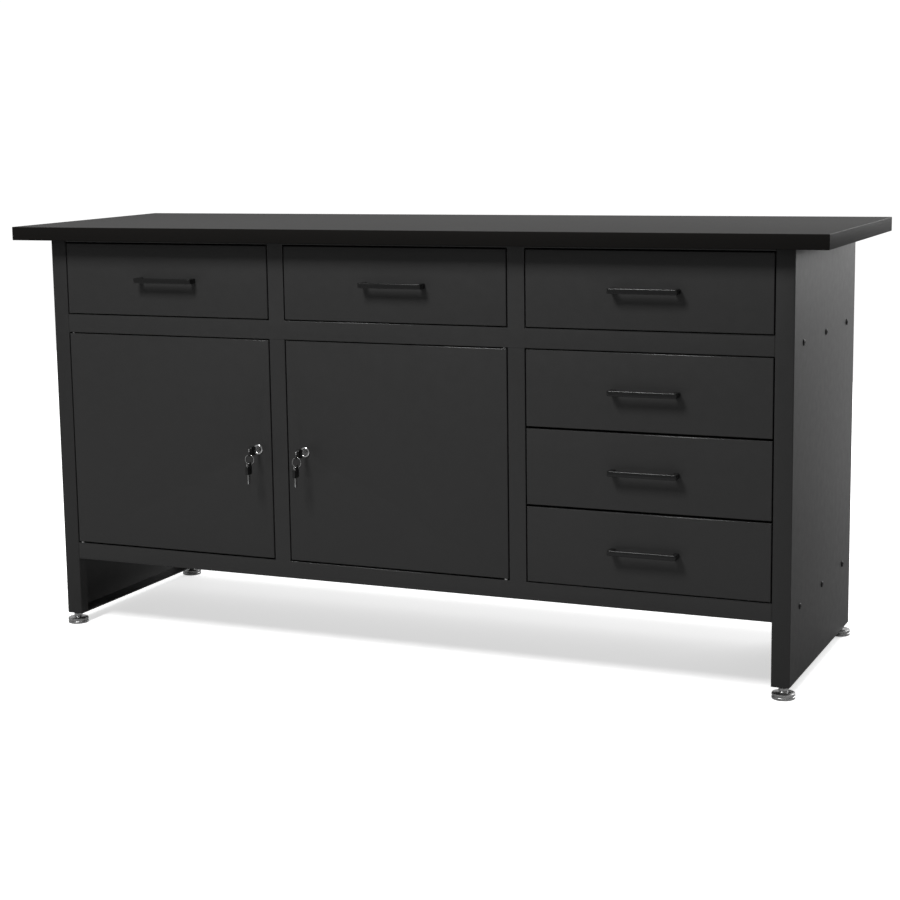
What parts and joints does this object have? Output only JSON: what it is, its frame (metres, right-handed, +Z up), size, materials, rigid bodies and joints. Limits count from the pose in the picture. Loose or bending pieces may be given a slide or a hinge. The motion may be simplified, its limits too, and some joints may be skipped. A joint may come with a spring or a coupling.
{
  "type": "workbench with drawers",
  "caption": "Sheet steel workbench with a board top, bow-handled drawers, two key-locked hinged doors and levelling feet.",
  "frame": {"origin": "on the floor below the middle of the worktop, so the centre of the bottom of the bounding box", "axes": "+X along the bench to the right as seen from the front, +Y to the rear, +Z up; the drawers and doors face -Y"},
  "size_m": [1.7, 0.57, 0.85],
  "materials": {
    "worktop_board": "dark grey laminate on a wood board, matt, with a near-black edge band",
    "side_powder_coat": "dark grey fine-textured powder coat on sheet steel",
    "front_powder_coat": "charcoal grey satin powder coat on folded sheet steel",
    "handle_black": "satin black",
    "key_plastic": "black plastic bow on a nickel plated steel blade",
    "chrome_lock": "polished chrome",
    "zinc_pin": "bright zinc plate",
    "zinc_foot": "turned steel with bright zinc plate",
    "zinc_runner": "rolled galvanised steel"
  },
  "bodies": {
    "carcass": {"worktop": "worktop_board", "side_panel_left": "side_powder_coat", "side_panel_right": "side_powder_coat", "face_frame": "side_powder_coat", "cabinet_floor": "side_powder_coat", "drawer_deck": "side_powder_coat", "back_panel": "side_powder_coat", "divider_upper_left": "side_powder_coat", "divider_upper_right": "side_powder_coat", "divider_lower_left": "side_powder_coat", "divider_lower_right": "side_powder_coat", "shelf_left": "side_powder_coat", "shelf_right": "side_powder_coat", "pivot_pin_left_bottom": "zinc_pin", "pivot_pin_left_top": "zinc_pin", "runner_upper_left": "zinc_runner", "runner_ladder_left": "zinc_runner", "pivot_pin_right_bottom": "zinc_pin", "pivot_pin_right_top": "zinc_pin", "runner_upper_right": "zinc_runner", "runner_ladder_right": "zinc_runner"},
    "drawer_upper_left": {"drawer_front_upper_left": "front_powder_coat", "drawer_box_upper_left": "side_powder_coat", "drawer_handle_upper_left": "handle_black"},
    "drawer_upper_centre": {"drawer_front_upper_centre": "front_powder_coat", "drawer_box_upper_centre": "side_powder_coat", "drawer_handle_upper_centre": "handle_black"},
    "drawer_upper_right": {"drawer_front_upper_right": "front_powder_coat", "drawer_box_upper_right": "side_powder_coat", "drawer_handle_upper_right": "handle_black"},
    "drawer_lower_bottom": {"drawer_front_lower_bottom": "front_powder_coat", "drawer_box_lower_bottom": "side_powder_coat", "drawer_handle_lower_bottom": "handle_black"},
    "drawer_lower_middle": {"drawer_front_lower_middle": "front_powder_coat", "drawer_box_lower_middle": "side_powder_coat", "drawer_handle_lower_middle": "handle_black"},
    "drawer_lower_top": {"drawer_front_lower_top": "front_powder_coat", "drawer_box_lower_top": "side_powder_coat", "drawer_handle_lower_top": "handle_black"},
    "door_left": {"door_left": "front_powder_coat", "lock_body_left": "chrome_lock"},
    "lock_left": {"lock_plug_left": "zinc_pin"},
    "key_left": {"key_left": "key_plastic"},
    "ring_left": {"key_ring_left": "chrome_lock"},
    "spare_left": {"spare_key_left": "key_plastic"},
    "door_right": {"door_right": "front_powder_coat", "lock_body_right": "chrome_lock"},
    "lock_right": {"lock_plug_right": "zinc_pin"},
    "key_right": {"key_right": "key_plastic"},
    "ring_right": {"key_ring_right": "chrome_lock"},
    "spare_right": {"spare_key_right": "key_plastic"},
    "foot_front_left_pad": {"foot_pad_front_left": "zinc_foot"},
    "foot_front_left_stud": {"foot_stud_front_left": "zinc_foot"},
    "foot_front_right_pad": {"foot_pad_front_right": "zinc_foot"},
    "foot_front_right_stud": {"foot_stud_front_right": "zinc_foot"},
    "foot_rear_left_pad": {"foot_pad_rear_left": "zinc_foot"},
    "foot_rear_left_stud": {"foot_stud_rear_left": "zinc_foot"},
    "foot_rear_right_pad": {"foot_pad_rear_right": "zinc_foot"},
    "foot_rear_right_stud": {"foot_stud_rear_right": "zinc_foot"}
  },
  "joints": [
    {"name": "drawer_upper_left_slide", "type": "slide", "parent": "carcass", "child": "drawer_upper_left", "axis": [0, -1, 0], "range_m": [0, 0.33]},
    {"name": "drawer_upper_centre_slide", "type": "slide", "parent": "carcass", "child": "drawer_upper_centre", "axis": [0, -1, 0], "range_m": [0, 0.33]},
    {"name": "drawer_upper_right_slide", "type": "slide", "parent": "carcass", "child": "drawer_upper_right", "axis": [0, -1, 0], "range_m": [0, 0.33]},
    {"name": "drawer_lower_bottom_slide", "type": "slide", "parent": "carcass", "child": "drawer_lower_bottom", "axis": [0, -1, 0], "range_m": [0, 0.33]},
    {"name": "drawer_lower_middle_slide", "type": "slide", "parent": "carcass", "child": "drawer_lower_middle", "axis": [0, -1, 0], "range_m": [0, 0.33]},
    {"name": "drawer_lower_top_slide", "type": "slide", "parent": "carcass", "child": "drawer_lower_top", "axis": [0, -1, 0], "range_m": [0, 0.33]},
    {"name": "door_left_hinge", "type": "hinge", "parent": "carcass", "child": "door_left", "pos_m": [-0.7385, -0.2345, 0.404], "axis": [0, 0, -1], "range_deg": [0, 90]},
    {"name": "lock_left_turn", "type": "hinge", "parent": "door_left", "child": "lock_left", "pos_m": [-0.304, -0.2395, 0.405], "axis": [0, -1, 0], "range_deg": [0, 90]},
    {"name": "key_left_pull", "type": "slide", "parent": "lock_left", "child": "key_left", "axis": [0, -1, 0], "range_m": [0, 0.012]},
    {"name": "ring_left_swing", "type": "hinge", "parent": "key_left", "child": "ring_left", "pos_m": [-0.304, -0.2765, 0.39972], "axis": [-1, 0, 0], "range_deg": [-12, 60]},
    {"name": "spare_left_swing", "type": "hinge", "parent": "ring_left", "child": "spare_left", "pos_m": [-0.304, -0.2765, 0.38052], "axis": [-1, 0, 0], "range_deg": [-10, 30]},
    {"name": "door_right_hinge", "type": "hinge", "parent": "carcass", "child": "door_right", "pos_m": [0.229, -0.2345, 0.404], "axis": [0, 0, 1], "range_deg": [0, 90]},
    {"name": "lock_right_turn", "type": "hinge", "parent": "door_right", "child": "lock_right", "pos_m": [-0.198, -0.2395, 0.405], "axis": [0, 1, 0], "range_deg": [0, 90]},
    {"name": "key_right_pull", "type": "slide", "parent": "lock_right", "child": "key_right", "axis": [0, -1, 0], "range_m": [0, 0.012]},
    {"name": "ring_right_swing", "type": "hinge", "parent": "key_right", "child": "ring_right", "pos_m": [-0.198, -0.2765, 0.39972], "axis": [-1, 0, 0], "range_deg": [-12, 60]},
    {"name": "spare_right_swing", "type": "hinge", "parent": "ring_right", "child": "spare_right", "pos_m": [-0.198, -0.2765, 0.38052], "axis": [-1, 0, 0], "range_deg": [-10, 30]},
    {"name": "foot_front_left_height", "type": "slide", "parent": "carcass", "child": "foot_front_left_pad", "axis": [0, 0, -1], "range_m": [0, 0.015]},
    {"name": "foot_front_left_turn", "type": "hinge", "parent": "foot_front_left_pad", "child": "foot_front_left_stud", "pos_m": [-0.767, -0.2235, 0.02], "axis": [0, 0, -1], "range_deg": [0, 4320]},
    {"name": "foot_front_right_height", "type": "slide", "parent": "carcass", "child": "foot_front_right_pad", "axis": [0, 0, -1], "range_m": [0, 0.015]},
    {"name": "foot_front_right_turn", "type": "hinge", "parent": "foot_front_right_pad", "child": "foot_front_right_stud", "pos_m": [0.767, -0.2235, 0.02], "axis": [0, 0, -1], "range_deg": [0, 4320]},
    {"name": "foot_rear_left_height", "type": "slide", "parent": "carcass", "child": "foot_rear_left_pad", "axis": [0, 0, -1], "range_m": [0, 0.015]},
    {"name": "foot_rear_left_turn", "type": "hinge", "parent": "foot_rear_left_pad", "child": "foot_rear_left_stud", "pos_m": [-0.767, 0.2515, 0.02], "axis": [0, 0, -1], "range_deg": [0, 4320]},
    {"name": "foot_rear_right_height", "type": "slide", "parent": "carcass", "child": "foot_rear_right_pad", "axis": [0, 0, -1], "range_m": [0, 0.015]},
    {"name": "foot_rear_right_turn", "type": "hinge", "parent": "foot_rear_right_pad", "child": "foot_rear_right_stud", "pos_m": [0.767, 0.2515, 0.02], "axis": [0, 0, -1], "range_deg": [0, 4320]}
  ],
  "couplings": [
    {"joint": "foot_front_left_turn", "follows": "foot_front_left_height", "rad_per_m": 5026.5},
    {"joint": "foot_front_right_turn", "follows": "foot_front_right_height", "rad_per_m": 5026.5},
    {"joint": "foot_rear_left_turn", "follows": "foot_rear_left_height", "rad_per_m": 5026.5},
    {"joint": "foot_rear_right_turn", "follows": "foot_rear_right_height", "rad_per_m": 5026.5}
  ]
}
